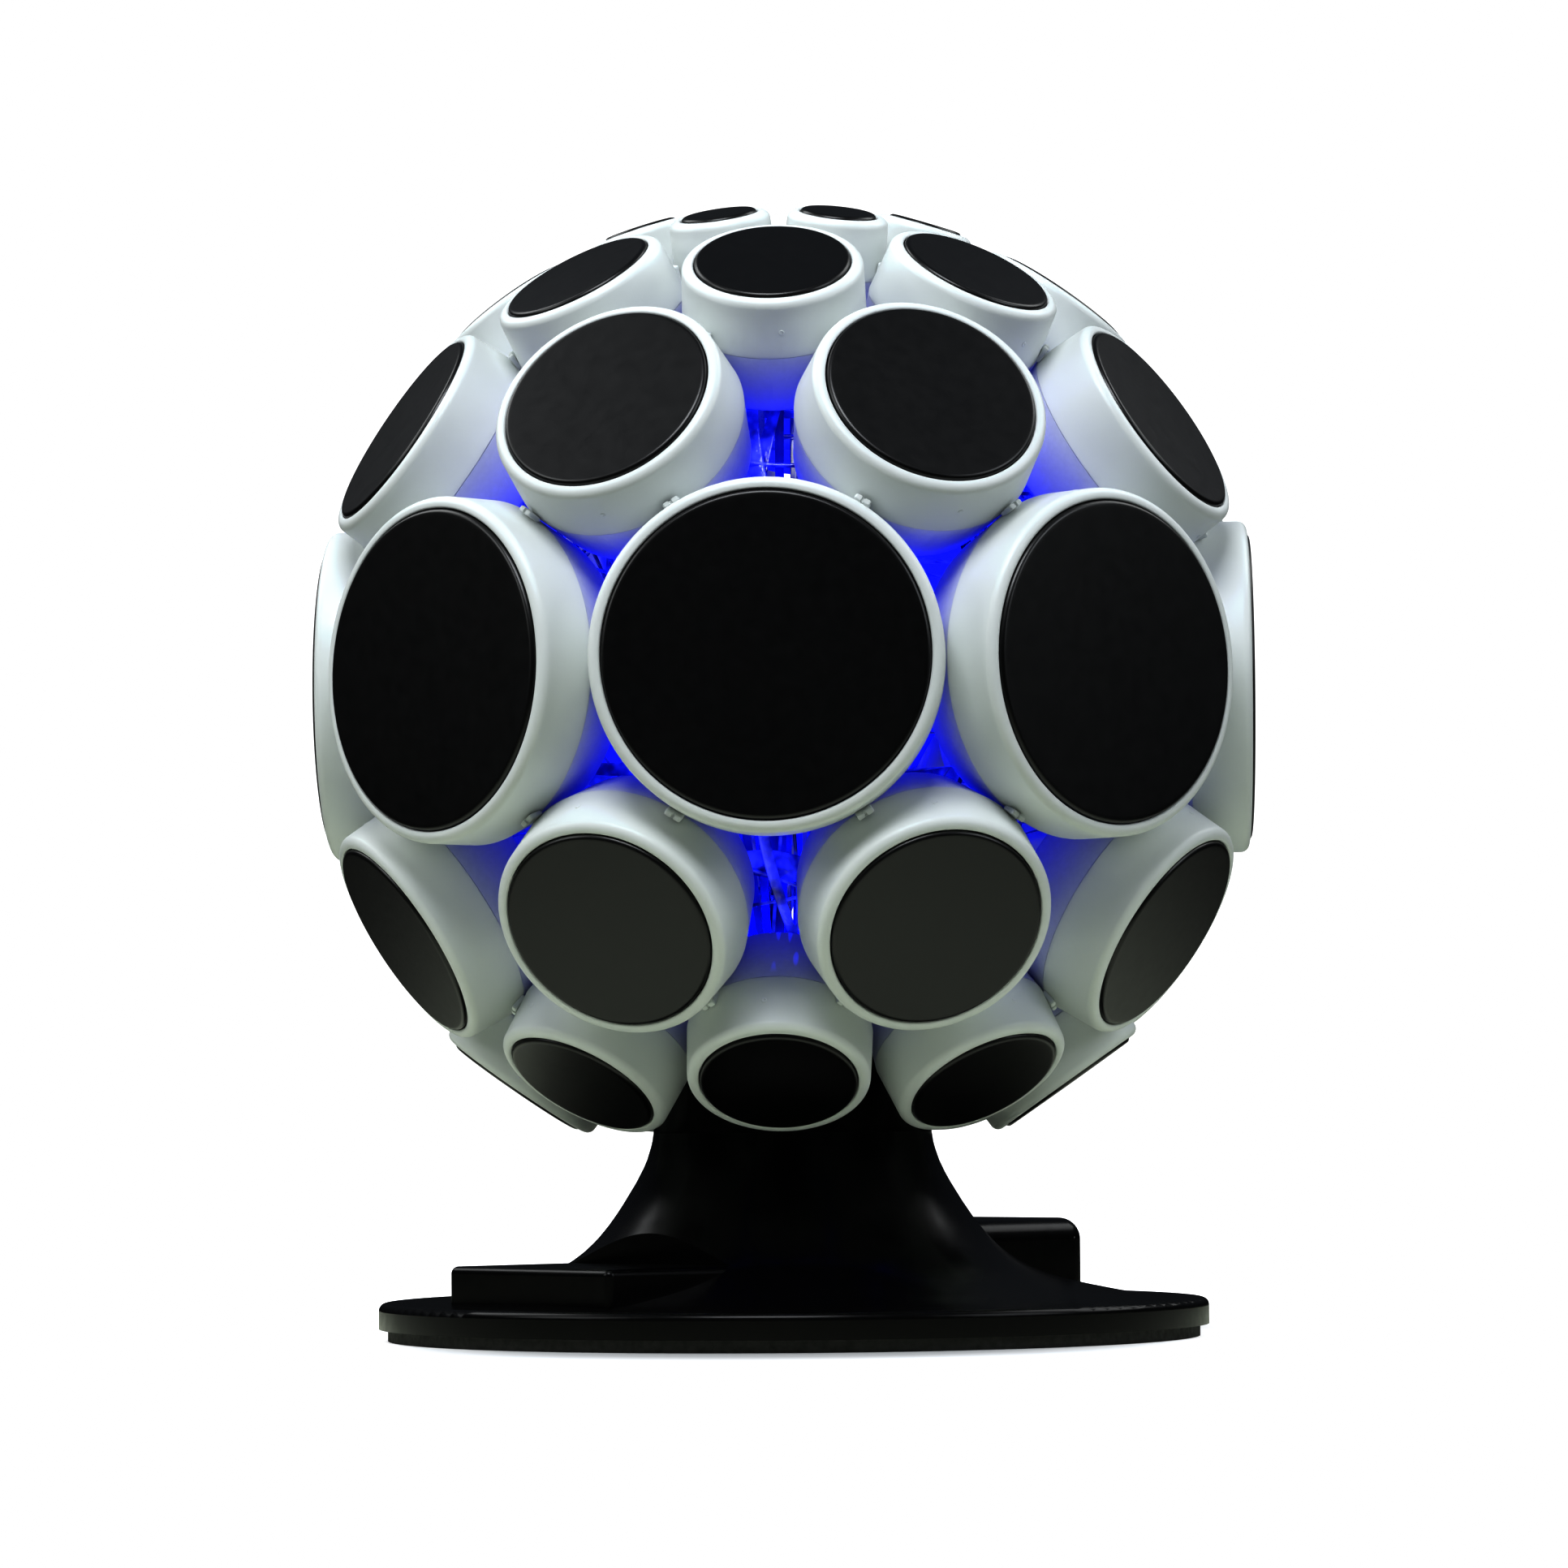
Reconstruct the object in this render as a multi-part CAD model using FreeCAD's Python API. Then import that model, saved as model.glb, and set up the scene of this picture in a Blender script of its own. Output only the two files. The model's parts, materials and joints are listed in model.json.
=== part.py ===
import FreeCAD, Part
import math
import os

# A spherical instrument: a globe of drum-like pads in conical cups, on a trumpet-shaped pedestal.
# Millimetres, +Z up. The origin is the centre of the foot's underside and the front faces -Y.
# An azimuth of 0 degrees faces -Y and grows towards +X; an elevation is above the equator.

# ---------------------------------------------------------------- globe
GLOBE_RADIUS = 134.2        # sphere that every rim's outer edge lies on
PEDESTAL_HEIGHT = 84.4      # top of the neck above the table; the globe's height follows from it
PADS_PER_ROW = 8
MID_ELEVATION = 32.0        # the rows next to the equator
HIGH_ELEVATION = 55.0       # the rows beyond those
CROWN_ELEVATION = 71.5      # the smallest pads, round the top opening

TOUCH_GAP = 0.15            # from a cup to the cone at which it would touch its neighbour
EQUATOR_DRAFT = 0.0         # widening of a bezel's skirt from its lip to its hem, row by row
MID_DRAFT = 0.7
HIGH_DRAFT = 0.4
CROWN_DRAFT = 0.5

# ---------------------------------------------------------------- bezel ring and cup
SKIRT_HEIGHT = 16.0         # lip plane to hem
LIP_WIDTH = 3.2             # white face between the opening and the outer edge
LIP_ROUND = 2.3             # outer corner of the lip
LIP_INNER_ROUND = 0.6
LIP_THICKNESS = 2.5
SKIRT_WALL = 1.3
CUP_WALL = 1.2              # inside the skirt
CUP_LOWER_WALL = 1.8        # below the hem
CUP_DEPTH = 34.0            # lip plane to the outside of the cup's floor
CUP_FLOOR = 2.0
CUP_EDGE_ROUND = 3.0
SLIP_FIT = 0.1              # skirt over cup, radially
HEM_SEAM = 0.3              # hem to the cup's shoulder
MEMBRANE_THICKNESS = 0.6    # room for the clamped margin between cup and lip

# ---------------------------------------------------------------- pad
PAD_CLEARANCE = 0.3         # pad edge to opening
PAD_RISE = 0.75             # pad face above the lip plane
PAD_DEPTH = 2.2             # underside below the lip plane
PAD_ROUND = 1.3
SENSOR_THICKNESS = 1.6
SENSOR_CLEARANCE = 0.6

# ---------------------------------------------------------------- clips between cups
CLIP_LENGTH = 6.5
CLIP_WIDTH = 2.2
CLIP_BOTTOM = 0.8           # above the point where the two hems come closest
CLIP_TOP = 3.0
CLIP_GAP = 0.03

# ---------------------------------------------------------------- leads and junction board
LEAD_WIDTH = 2.4
LEAD_THICKNESS = 0.4
LEAD_LANDINGS = (10.0, 10.0, 14.0, 14.0, 18.0, 20.0)   # radius on the board, crown row first
LEAD_OFFSET_SHARE = 0.55    # start of a lead on the cup's floor, as a share of the floor's radius
RISER_WIDTH = 12.0
RISER_THICKNESS = 0.6
BOARD_THICKNESS = 1.6
LAMP_COUNT = 8
LAMP_RING = 5.5             # lamps stand inside the circle where the leads land
LAMP_RADIUS = 1.3
LAMP_HEIGHT = 1.6

# ---------------------------------------------------------------- frame that carries the globe
COLLAR_WALL = 10.3
COLLAR_LEDGE = 2.0
COLLAR_LEDGE_HEIGHT = 5.0
COLLAR_CLEARANCE = 0.2
ARM_THICKNESS = 4.0
ARM_HEIGHT = 6.0

# ---------------------------------------------------------------- base
NECK_GAP = 1.8              # neck to the floors of the lowest cups
NECK_FLARE = 0.8            # the trumpet is this much wider where it leaves the neck
FLARE_START = 56.0          # height at which the neck begins to flare
FLARE_KNEE_RADIUS = 61.2
FLARE_KNEE_HEIGHT = 21.0
FLANGE_RADIUS = 113.7
FLANGE_TOP = 10.3
FLANGE_ROUND = 2.0
BASE_WALL = 3.0
FOOT_INSET = 2.5            # foot plate's edge inside the flange's
FOOT_THICKNESS = 3.3

STEP_AZIMUTH = -45.0        # low flat block at the front left
STEP_WIDTH = 66.0
STEP_TOP = 21.0
STEP_INSET = 18.7           # outer face inside the flange's edge
STEP_WALL_PLACE = 52.0      # upright wall cut into the trumpet behind the block
STEP_ROUND = 2.0
PORT_AZIMUTH = 135.0        # taller block with the sockets, opposite
PORT_WIDTH = 56.0
PORT_TOP = 31.5
PORT_INSET = 26.7
PORT_ROUND = 6.0

SCREW_COUNT = 6
SCREW_INSET = 15.7          # screws inside the flange's edge
SCREW_RADIUS = 1.5
SCREW_HEAD_RADIUS = 2.75
SCREW_HEAD_HEIGHT = 1.6
SCREW_RECESS = 0.4
SCREW_LENGTH = 7.6
SCREW_CLEARANCE = 0.05
BOSS_RADIUS = 4.5
BOSS_CAP = 1.0              # boss above the end of the screw's hole

MAIN_BOARD_RADIUS = 46.0
STANDOFF_CIRCLE = 36.0
STANDOFF_RADIUS = 3.0
STANDOFF_HEIGHT = 4.0

DATA_SOCKET = (12.0, 10.9, 16.0)      # width, height, depth
DATA_MOUTH = (8.5, 7.8, 9.0)
DATA_TONGUE = (5.6, 3.2, 8.0)
POWER_SOCKET_RADIUS = 4.8
POWER_SOCKET_DEPTH = 12.0
POWER_MOUTH_RADIUS = 2.75
POWER_MOUTH_DEPTH = 9.5
POWER_PIN_RADIUS = 1.0
SOCKET_SPACING = 26.0
SOCKET_CLEARANCE = 0.15

FOOT_RADIUS = FLANGE_RADIUS - FOOT_INSET
STEP_REACH = FLANGE_RADIUS - STEP_INSET
PORT_REACH = FLANGE_RADIUS - PORT_INSET
SCREW_CIRCLE = FLANGE_RADIUS - SCREW_INSET

X = FreeCAD.Vector(1, 0, 0)
Y = FreeCAD.Vector(0, 1, 0)
Z = FreeCAD.Vector(0, 0, 1)


def vec(x, y, z):
    return FreeCAD.Vector(x, y, z)


def direction(elevation, azimuth):
    el, az = math.radians(elevation), math.radians(azimuth)
    return vec(math.sin(az) * math.cos(el), -math.cos(az) * math.cos(el), math.sin(el))


def angle_between(elevation_a, elevation_b, azimuth_step):
    cosine = direction(elevation_a, 0).dot(direction(elevation_b, azimuth_step))
    return math.degrees(math.acos(cosine))


def revolve(edges):
    """Solid of revolution about Z from edges that close in the XZ plane."""
    face = Part.Face(Part.Wire(Part.__sortEdges__(edges)))
    return face.revolve(vec(0, 0, 0), Z, 360)


def outline(points):
    """Straight edges through (radius, height) points, closed."""
    corners = [vec(r, 0, h) for r, h in points]
    return Part.makePolygon(corners + [corners[0]]).Edges


def to_radial(shape, elevation, azimuth):
    """Moves a shape made along +Z from the globe's centre to look out at the given place."""
    turn = FreeCAD.Rotation(Z, azimuth - 90) * FreeCAD.Rotation(Y, 90 - elevation)
    moved = shape.copy()
    moved.Placement = FreeCAD.Placement(CENTRE, turn)
    return moved


def to_azimuth(shape, azimuth):
    """Turns a shape made along +X about the upright axis so that it points at the azimuth."""
    moved = shape.copy()
    moved.Placement = FreeCAD.Placement(vec(0, 0, 0), FreeCAD.Rotation(Z, azimuth - 90))
    return moved


def beam(start, end, width, thickness):
    """A straight bar between two points of the XZ plane, its width along Y."""
    run = end - start
    bar = Part.makeBox(thickness, width, run.Length, vec(-thickness / 2, -width / 2, 0))
    turn = FreeCAD.Rotation(Y, math.degrees(math.atan2(run.x, run.z)))
    bar.Placement = FreeCAD.Placement(start, turn)
    return bar


class Row:
    """One ring of equal pads: its place, and the sizes that follow from touching its neighbours."""

    def __init__(self, name, elevation, stagger, half_angle, draft, lead_landing):
        self.name = name
        self.elevation = elevation
        self.azimuths = [360.0 / PADS_PER_ROW * (k + stagger) for k in range(PADS_PER_ROW)]
        self.half_angle = half_angle
        self.slope = math.tan(math.radians(half_angle))
        self.lead_landing = lead_landing
        # The hem touches the neighbour's cone and the lip's edge lies on the globe's sphere.
        sunk = (SKIRT_HEIGHT * self.slope + TOUCH_GAP + draft) * math.cos(math.radians(half_angle))
        lip_angle = math.radians(half_angle) - math.asin(sunk / GLOBE_RADIUS)
        self.lip = GLOBE_RADIUS * math.cos(lip_angle)
        self.lip_radius = GLOBE_RADIUS * math.sin(lip_angle)
        self.hem = self.lip - SKIRT_HEIGHT
        self.hem_radius = self.lip_radius + draft
        self.opening = self.lip_radius - LIP_WIDTH
        self.pad_radius = self.opening - PAD_CLEARANCE
        self.skirt_bore = self.lip_radius - SKIRT_WALL
        self.cup_radius = self.skirt_bore - SLIP_FIT
        self.bore = self.cup_radius - CUP_WALL
        self.floor = self.lip - CUP_DEPTH

    def cone_radius(self, height):
        return height * self.slope - TOUCH_GAP

    def lower_bore(self, height):
        return min(self.bore, self.cone_radius(height) - CUP_LOWER_WALL)


def make_rows():
    step = 360.0 / PADS_PER_ROW
    equator_half = step / 2
    mid_half = angle_between(0, MID_ELEVATION, step / 2) - equator_half
    high_half = min(angle_between(MID_ELEVATION, HIGH_ELEVATION, step / 2) - mid_half,
                    angle_between(HIGH_ELEVATION, HIGH_ELEVATION, step) / 2)
    crown_half = min(angle_between(HIGH_ELEVATION, CROWN_ELEVATION, step / 2) - high_half,
                     angle_between(CROWN_ELEVATION, CROWN_ELEVATION, step) / 2)
    places = [
        ("crown", CROWN_ELEVATION, 0.5, crown_half, CROWN_DRAFT),
        ("upper", HIGH_ELEVATION, 0.0, high_half, HIGH_DRAFT),
        ("upper_mid", MID_ELEVATION, 0.5, mid_half, MID_DRAFT),
        ("equator", 0.0, 0.0, equator_half, EQUATOR_DRAFT),
        ("lower_mid", -MID_ELEVATION, 0.5, mid_half, MID_DRAFT),
        ("lower", -HIGH_ELEVATION, 0.0, high_half, HIGH_DRAFT),
    ]
    return [Row(*place, landing) for place, landing in zip(places, LEAD_LANDINGS)]


class Neck:
    """The top of the pedestal and the globe's place on it, worked out from the lowest cups."""

    def __init__(self, rows):
        low = rows[-1]
        el = math.radians(abs(low.elevation))
        edge_radius = low.floor * math.cos(el) - low.cone_radius(low.floor) * math.sin(el)
        edge_drop = low.floor * math.sin(el) + low.cone_radius(low.floor) * math.cos(el)
        self.radius = edge_radius - NECK_GAP
        self.top = PEDESTAL_HEIGHT
        self.globe_centre = vec(0, 0, self.top + edge_drop + NECK_GAP / 2)
        self.collar_radius = self.radius - COLLAR_CLEARANCE
        self.collar_bore = self.collar_radius - COLLAR_WALL
        self.board_radius = self.collar_bore - COLLAR_CLEARANCE
        self.ledge_top = self.top + COLLAR_LEDGE_HEIGHT
        self.board_top = self.ledge_top + BOARD_THICKNESS


ROWS = make_rows()
NECK = Neck(ROWS)
CENTRE = NECK.globe_centre


# ---------------------------------------------------------------- pieces of one pad unit
def bezel_ring(row):
    """White ring: a domed lip round the opening and a skirt that slips over the cup."""
    top, r_in, r_out = row.lip, row.opening, row.lip_radius
    s = math.sqrt(0.5)
    corner = vec(r_out - LIP_ROUND, 0, top - LIP_ROUND)
    inner = vec(r_in + LIP_INNER_ROUND, 0, top - LIP_INNER_ROUND)
    p_inner_low = vec(r_in, 0, inner.z)
    p_inner_top = vec(inner.x, 0, top)
    p_outer_top = vec(corner.x, 0, top)
    p_outer_low = vec(r_out, 0, corner.z)
    under = top - LIP_THICKNESS
    path = [vec(row.hem_radius, 0, row.hem), vec(row.skirt_bore, 0, row.hem),
            vec(row.skirt_bore, 0, under), vec(r_in, 0, under)]
    edges = [
        Part.Arc(p_inner_low, inner + vec(-s * LIP_INNER_ROUND, 0, s * LIP_INNER_ROUND),
                 p_inner_top).toShape(),
        Part.makeLine(p_inner_top, p_outer_top),
        Part.Arc(p_outer_top, corner + vec(s * LIP_ROUND, 0, s * LIP_ROUND), p_outer_low).toShape(),
        Part.makeLine(p_outer_low, path[0]),
        Part.makeLine(path[0], path[1]),
        Part.makeLine(path[1], path[2]),
        Part.makeLine(path[2], path[3]),
        Part.makeLine(path[3], p_inner_low),
    ]
    return revolve(edges)


def pad_cup(row):
    """Open cup: a sleeve inside the skirt, a shoulder under the hem, and a tapering body."""
    shoulder = row.hem - HEM_SEAM
    rim = row.lip - LIP_THICKNESS - MEMBRANE_THICKNESS
    inside = row.floor + CUP_FLOOR
    cup = revolve(outline([
        (0, row.floor), (row.cone_radius(row.floor), row.floor),
        (row.cone_radius(shoulder), shoulder), (row.cup_radius, shoulder),
        (row.cup_radius, rim), (row.bore, rim),
        (row.bore, row.hem), (row.lower_bore(row.hem - CUP_LOWER_WALL), row.hem - CUP_LOWER_WALL),
        (row.lower_bore(inside), inside), (0, inside)]))
    edge = [e for e in cup.Edges
            if abs(e.BoundBox.ZMax - row.floor) < 1e-6 and e.BoundBox.XMax > row.bore / 2]
    return cup.makeFillet(min(CUP_EDGE_ROUND, 0.9 * CUP_FLOOR), edge)


def sensor_board(row):
    """Round force-sensing board on the cup's floor."""
    base = row.floor + CUP_FLOOR
    radius = row.lower_bore(base) - SENSOR_CLEARANCE
    return Part.makeCylinder(radius, SENSOR_THICKNESS, vec(0, 0, base))


def pad(row):
    """Playing surface: a rubber disc with a rounded shoulder, proud of the lip."""
    height = PAD_DEPTH + PAD_RISE
    disc = Part.makeCylinder(row.pad_radius, height, vec(0, 0, row.lip - PAD_DEPTH))
    shoulder = [e for e in disc.Edges if abs(e.BoundBox.ZMin - row.lip - PAD_RISE) < 1e-6]
    return disc.makeFillet(PAD_ROUND, shoulder)


# ---------------------------------------------------------------- clips between touching cups
def skirt_body(row, azimuth):
    """The space a bezel takes up, grown by the clip's gap."""
    body = revolve(outline([(0, row.hem), (row.hem_radius + CLIP_GAP, row.hem),
                            (row.lip_radius + CLIP_GAP, row.lip), (0, row.lip)]))
    return to_radial(body, row.elevation, azimuth)


def cup_clip(row_a, azimuth_a, row_b, azimuth_b):
    """Small lug in the groove where two bezels come closest."""
    a = direction(row_a.elevation, azimuth_a)
    b = direction(row_b.elevation, azimuth_b)
    along = a.cross(b)
    along.normalize()
    across = along.cross(a)
    half = math.radians(row_a.half_angle)
    out = a * math.cos(half) + across * math.sin(half)
    side = along.cross(out)
    near = 0.5 * (math.hypot(row_a.hem, row_a.hem_radius) + math.hypot(row_b.hem, row_b.hem_radius))
    box = Part.makeBox(CLIP_WIDTH, CLIP_LENGTH, CLIP_TOP - CLIP_BOTTOM,
                       vec(-CLIP_WIDTH / 2, -CLIP_LENGTH / 2, near + CLIP_BOTTOM))
    frame = FreeCAD.Matrix(side.x, along.x, out.x, 0, side.y, along.y, out.y, 0,
                           side.z, along.z, out.z, CENTRE.z, 0, 0, 0, 1)
    box.Placement = FreeCAD.Placement(frame)
    lug = box.cut([skirt_body(row_a, azimuth_a), skirt_body(row_b, azimuth_b)])
    return max(lug.Solids, key=lambda solid: solid.Volume)


def cup_clips():
    by_name = {row.name: row for row in ROWS}
    pairs = [("equator", "upper_mid"), ("equator", "lower_mid"), ("upper", "upper_mid"),
             ("lower", "lower_mid"), ("upper", "crown")]
    half_step = 180.0 / PADS_PER_ROW
    clips = []
    for name_a, name_b in pairs:
        row_a, row_b = by_name[name_a], by_name[name_b]
        for azimuth in row_a.azimuths:
            for turn in (-half_step, half_step):
                clips.append(cup_clip(row_a, azimuth, row_b, azimuth + turn))
    return clips


# ---------------------------------------------------------------- frame, junction board, leads
def floor_half_space(row, azimuth):
    """Everything from a cup's floor outwards, to trim what stops at the floor."""
    size = GLOBE_RADIUS
    return to_radial(Part.makeBox(size, size, size, vec(-size / 2, -size / 2, row.floor)),
                     row.elevation, azimuth)


def globe_frame():
    """Collar on the neck, and an arm from it to the floor of each cup in the lower middle row."""
    row = ROWS[4]
    inner, outer = NECK.collar_bore, NECK.collar_radius
    collar = revolve(outline([
        (inner - COLLAR_LEDGE, NECK.top), (outer, NECK.top), (outer, NECK.board_top),
        (inner, NECK.board_top), (inner, NECK.ledge_top), (inner - COLLAR_LEDGE, NECK.ledge_top)]))
    el = math.radians(row.elevation)
    out = vec(math.cos(el), 0, math.sin(el))
    start = vec(outer, 0, (NECK.top + NECK.board_top) / 2)
    end = CENTRE + out * row.floor
    run = (end - start).normalize() * ARM_HEIGHT
    arm = beam(start - run, end + run, ARM_THICKNESS, ARM_HEIGHT)
    size = GLOBE_RADIUS
    arm = arm.cut([floor_half_space(row, 90), Part.makeCylinder(outer, size),
                   Part.makeBox(size, size, NECK.top, vec(0, -size / 2, 0))])
    return [collar] + [to_azimuth(arm, azimuth) for azimuth in row.azimuths]


def flex_lead(row):
    """Flat lead from a cup's floor to the junction board, in the XZ plane."""
    el = math.radians(row.elevation)
    offset = LEAD_OFFSET_SHARE * row.cone_radius(row.floor)
    out = vec(math.cos(el), 0, math.sin(el))
    north = vec(-math.sin(el), 0, math.cos(el))
    start = vec(row.lead_landing, 0, NECK.board_top)
    end = CENTRE + out * row.floor + north * offset
    run = end - start
    run.normalize()
    lead = beam(start - run, end + run * CUP_FLOOR, LEAD_WIDTH, LEAD_THICKNESS)
    lead = lead.cut(floor_half_space(row, 90))
    size = GLOBE_RADIUS
    return lead.cut(Part.makeBox(size, size, size, vec(-size / 2, -size / 2, NECK.board_top - size)))


def flex_leads():
    leads = []
    for row in ROWS:
        lead = flex_lead(row)
        leads += [to_azimuth(lead, az) for az in row.azimuths]
    low = FOOT_THICKNESS + STANDOFF_HEIGHT + BOARD_THICKNESS
    leads.append(Part.makeBox(RISER_WIDTH, RISER_THICKNESS, NECK.ledge_top - low,
                              vec(-RISER_WIDTH / 2, -RISER_THICKNESS / 2, low)))
    return leads


def junction_board():
    """Round board on the collar's ledge that takes every lead, with a ring of lamps."""
    board = Part.makeCylinder(NECK.board_radius, BOARD_THICKNESS, vec(0, 0, NECK.ledge_top))
    lamps = []
    for k in range(LAMP_COUNT):
        spot = direction(0, 360.0 / LAMP_COUNT * k) * LAMP_RING
        lamps.append(Part.makeCylinder(LAMP_RADIUS, LAMP_HEIGHT, spot + vec(0, 0, NECK.board_top)))
    return board.fuse(lamps)


# ---------------------------------------------------------------- base
def trumpet(shift):
    """The pedestal's flaring curve, moved inwards and down by shift."""
    start_radius = NECK.radius + NECK_FLARE
    knee = vec(FLARE_KNEE_RADIUS, 0, FLARE_KNEE_HEIGHT)
    places = [
        vec(start_radius, 0, FLARE_START),
        vec(start_radius + 0.28 * (knee.x - start_radius), 0, knee.z + 0.54 * (FLARE_START - knee.z)),
        knee,
        vec(knee.x + 0.47 * (FLANGE_RADIUS - knee.x), 0, FLANGE_TOP + 0.25 * (knee.z - FLANGE_TOP)),
        vec(FLANGE_RADIUS - FLANGE_ROUND, 0, FLANGE_TOP),
    ]
    curve = Part.BSplineCurve()
    curve.interpolate(Points=[p - vec(shift, 0, shift) for p in places],
                      InitialTangent=vec(0.12, 0, -1), FinalTangent=vec(1, 0, -0.02))
    return curve.toShape()


def pedestal_solid():
    """The outside of the pedestal, filled."""
    curve = trumpet(0)
    first, last = curve.Vertexes[0].Point, curve.Vertexes[-1].Point
    s = math.sqrt(0.5) * FLANGE_ROUND
    centre = vec(FLANGE_RADIUS - FLANGE_ROUND, 0, FLANGE_TOP - FLANGE_ROUND)
    side = vec(FLANGE_RADIUS, 0, centre.z)
    path = [side, vec(FLANGE_RADIUS, 0, FOOT_THICKNESS), vec(0, 0, FOOT_THICKNESS),
            vec(0, 0, NECK.top), vec(NECK.radius, 0, NECK.top), first]
    edges = [curve, Part.Arc(last, centre + vec(s, 0, s), side).toShape()]
    edges += [Part.makeLine(a, b) for a, b in zip(path, path[1:])]
    return revolve(edges)


def pedestal_hollow():
    curve = trumpet(BASE_WALL)
    first, last = curve.Vertexes[0].Point, curve.Vertexes[-1].Point
    inner = NECK.radius - BASE_WALL
    path = [last, vec(last.x, 0, FOOT_THICKNESS), vec(0, 0, FOOT_THICKNESS), vec(0, 0, NECK.top),
            vec(inner, 0, NECK.top), first]
    return revolve([curve] + [Part.makeLine(a, b) for a, b in zip(path, path[1:])])


def block(inner, reach, width, bottom, top, rounding=0.0):
    """A box along +X from inner to reach, with its outer and upper edges rounded."""
    box = Part.makeBox(reach - inner, width, top - bottom, vec(inner, -width / 2, bottom))
    if rounding:
        edges = [e for e in box.Edges if e.BoundBox.ZMin > bottom + 1e-6 and e.BoundBox.XMax > inner + 1]
        edges += [e for e in box.Edges if e.BoundBox.XMin > reach - 1e-6 and e.BoundBox.YLength < 1e-6]
        box = box.makeFillet(rounding, edges)
    return box


def socket_places():
    """Centres of the data and power sockets on the port block's outer face, block along +X."""
    height = (FLANGE_TOP + PORT_TOP) / 2
    return [vec(PORT_REACH, -SOCKET_SPACING / 2, height), vec(PORT_REACH, SOCKET_SPACING / 2, height)]


def along_x(radius, depth, place):
    return Part.makeCylinder(radius, depth, place - vec(depth, 0, 0), X)


def box_behind(size, place):
    width, height, depth = size
    return Part.makeBox(depth, width, height, place - vec(depth, width / 2, height / 2))


def base_cover():
    """Trumpet pedestal with its rim flange, the low step block and the taller port block."""
    step = to_azimuth(block(0, STEP_REACH, STEP_WIDTH, FOOT_THICKNESS, STEP_TOP, STEP_ROUND),
                      STEP_AZIMUTH)
    port = to_azimuth(block(0, PORT_REACH, PORT_WIDTH, FOOT_THICKNESS, PORT_TOP, PORT_ROUND),
                      PORT_AZIMUTH)
    above = to_azimuth(block(STEP_WALL_PLACE, FLANGE_RADIUS, 2 * STEP_WIDTH, STEP_TOP, NECK.top),
                       STEP_AZIMUTH)
    outside = pedestal_solid().cut(above).fuse([step, port])
    walls = to_azimuth(block(STEP_WALL_PLACE - BASE_WALL, FLANGE_RADIUS, 2 * STEP_WIDTH,
                             STEP_TOP - BASE_WALL, NECK.top), STEP_AZIMUTH)
    step_room = to_azimuth(block(0, STEP_REACH - BASE_WALL, STEP_WIDTH - 2 * BASE_WALL,
                                 FOOT_THICKNESS, STEP_TOP - BASE_WALL), STEP_AZIMUTH)
    port_room = to_azimuth(block(0, PORT_REACH - BASE_WALL, PORT_WIDTH - 2 * BASE_WALL,
                                 FOOT_THICKNESS, PORT_TOP - BASE_WALL), PORT_AZIMUTH)
    cover = outside.cut(pedestal_hollow().cut(walls)).cut(step_room).cut(port_room)
    screw_top = SCREW_RECESS + SCREW_LENGTH
    bosses = [Part.makeCylinder(BOSS_RADIUS, screw_top + BOSS_CAP - FOOT_THICKNESS,
                                spot + vec(0, 0, FOOT_THICKNESS)) for spot in screw_places()]
    cover = cover.fuse(bosses)
    holes = [Part.makeCylinder(SCREW_RADIUS + SCREW_CLEARANCE, screw_top - FOOT_THICKNESS,
                               spot + vec(0, 0, FOOT_THICKNESS)) for spot in screw_places()]
    data, power = socket_places()
    size = [s + 2 * SOCKET_CLEARANCE for s in DATA_SOCKET]
    holes.append(to_azimuth(box_behind(size, data + vec(2 * SOCKET_CLEARANCE, 0, 0)), PORT_AZIMUTH))
    holes.append(to_azimuth(along_x(POWER_SOCKET_RADIUS + SOCKET_CLEARANCE, POWER_SOCKET_DEPTH, power),
                            PORT_AZIMUTH))
    return cover.cut(holes).removeSplitter()


def screw_places():
    return [direction(0, 360.0 / SCREW_COUNT * k) * SCREW_CIRCLE for k in range(SCREW_COUNT)]


def foot_plate():
    """Flat round plate that closes the base and rests on the table, with standoffs inside."""
    plate = Part.makeCylinder(FOOT_RADIUS, FOOT_THICKNESS)
    for k in range(4):
        spot = direction(0, 45 + 90 * k) * STANDOFF_CIRCLE
        plate = plate.fuse(Part.makeCylinder(STANDOFF_RADIUS, STANDOFF_HEIGHT,
                                             spot + vec(0, 0, FOOT_THICKNESS)))
    recess = SCREW_RECESS + SCREW_HEAD_HEIGHT
    for spot in screw_places():
        plate = plate.cut(Part.makeCylinder(SCREW_RADIUS + SCREW_CLEARANCE, FOOT_THICKNESS, spot))
        plate = plate.cut(Part.makeCylinder(SCREW_HEAD_RADIUS + 2 * SCREW_CLEARANCE, recess, spot))
    return plate


def foot_screw(spot):
    head = Part.makeCylinder(SCREW_HEAD_RADIUS, SCREW_HEAD_HEIGHT, spot + vec(0, 0, SCREW_RECESS))
    shank = Part.makeCylinder(SCREW_RADIUS, SCREW_LENGTH - SCREW_CLEARANCE,
                              spot + vec(0, 0, SCREW_RECESS))
    slot = Part.makeBox(2 * SCREW_HEAD_RADIUS, SCREW_HEAD_RADIUS / 4, SCREW_HEAD_HEIGHT / 2,
                        spot + vec(-SCREW_HEAD_RADIUS, -SCREW_HEAD_RADIUS / 8, SCREW_RECESS))
    return head.fuse(shank).cut(slot)


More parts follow.
